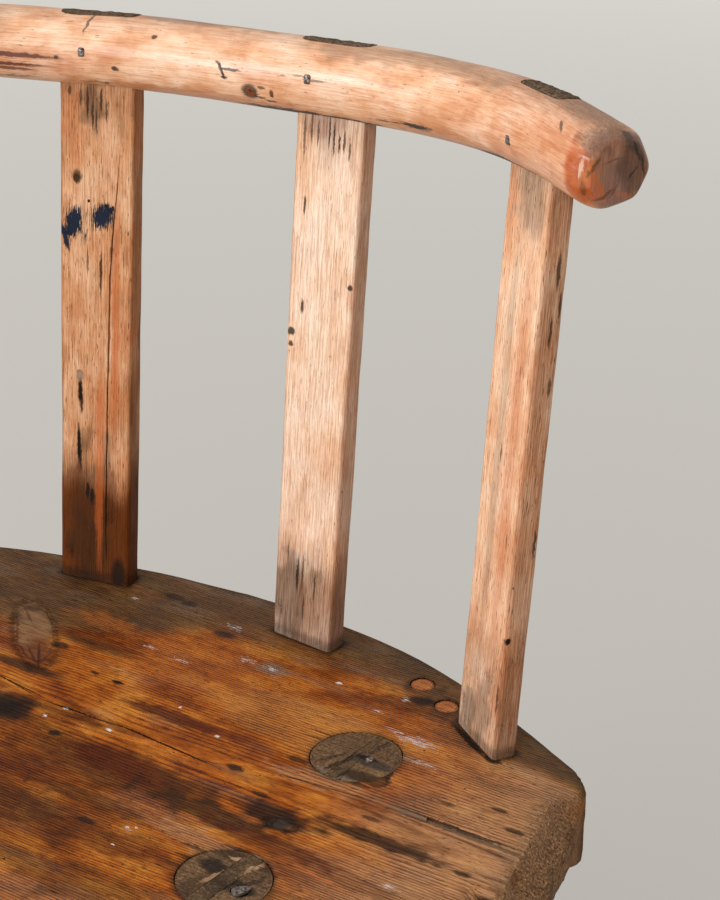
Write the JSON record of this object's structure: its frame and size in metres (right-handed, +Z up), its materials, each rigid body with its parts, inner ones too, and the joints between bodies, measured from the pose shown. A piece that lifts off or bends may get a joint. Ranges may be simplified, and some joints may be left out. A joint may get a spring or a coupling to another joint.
{
  "type": "rustic plank-seat chair",
  "caption": "Worn rustic wooden chair: half-moon plank seat on splayed legs with wedged through tenons, flat slats and a bent branch rail as its low back.",
  "frame": {"origin": "on the floor, under the middle of the chair's outer box", "axes": "+Z up, -Y the way the sitter faces, +X along the seat plank's grain"},
  "size_m": [0.6042, 0.356, 0.7381],
  "materials": {
    "seat_pine": "worn, oiled and stained, raised grain",
    "back_birch": "knife shaved, rubbed to a soft gloss",
    "leg_wood": "shaved, dry and worn",
    "wedge_wood": "weathered end grain",
    "plug_wood": "rubbed end grain",
    "nail_iron": "hand forged, rusted dark"
  },
  "bodies": {
    "root": {"crest_rail": "back_birch", "leg_front_left": "leg_wood", "leg_front_right": "leg_wood", "leg_rear_left": "leg_wood", "leg_rear_right": "leg_wood", "rail_nail_inner_left": "nail_iron", "rail_nail_inner_right": "nail_iron", "rail_nail_outer_left": "nail_iron", "rail_nail_outer_right": "nail_iron", "seat_plank": "seat_pine", "seat_plug_1": "plug_wood", "seat_plug_2": "plug_wood", "slat_inner_left": "back_birch", "slat_inner_right": "back_birch", "slat_outer_left": "back_birch", "slat_outer_right": "back_birch", "tenon_nail_front_right": "nail_iron", "tenon_nail_rear_right": "nail_iron", "wedge_front_left": "wedge_wood", "wedge_front_right": "wedge_wood", "wedge_rear_left": "wedge_wood", "wedge_rear_right": "wedge_wood"}
  },
  "joints": []
}
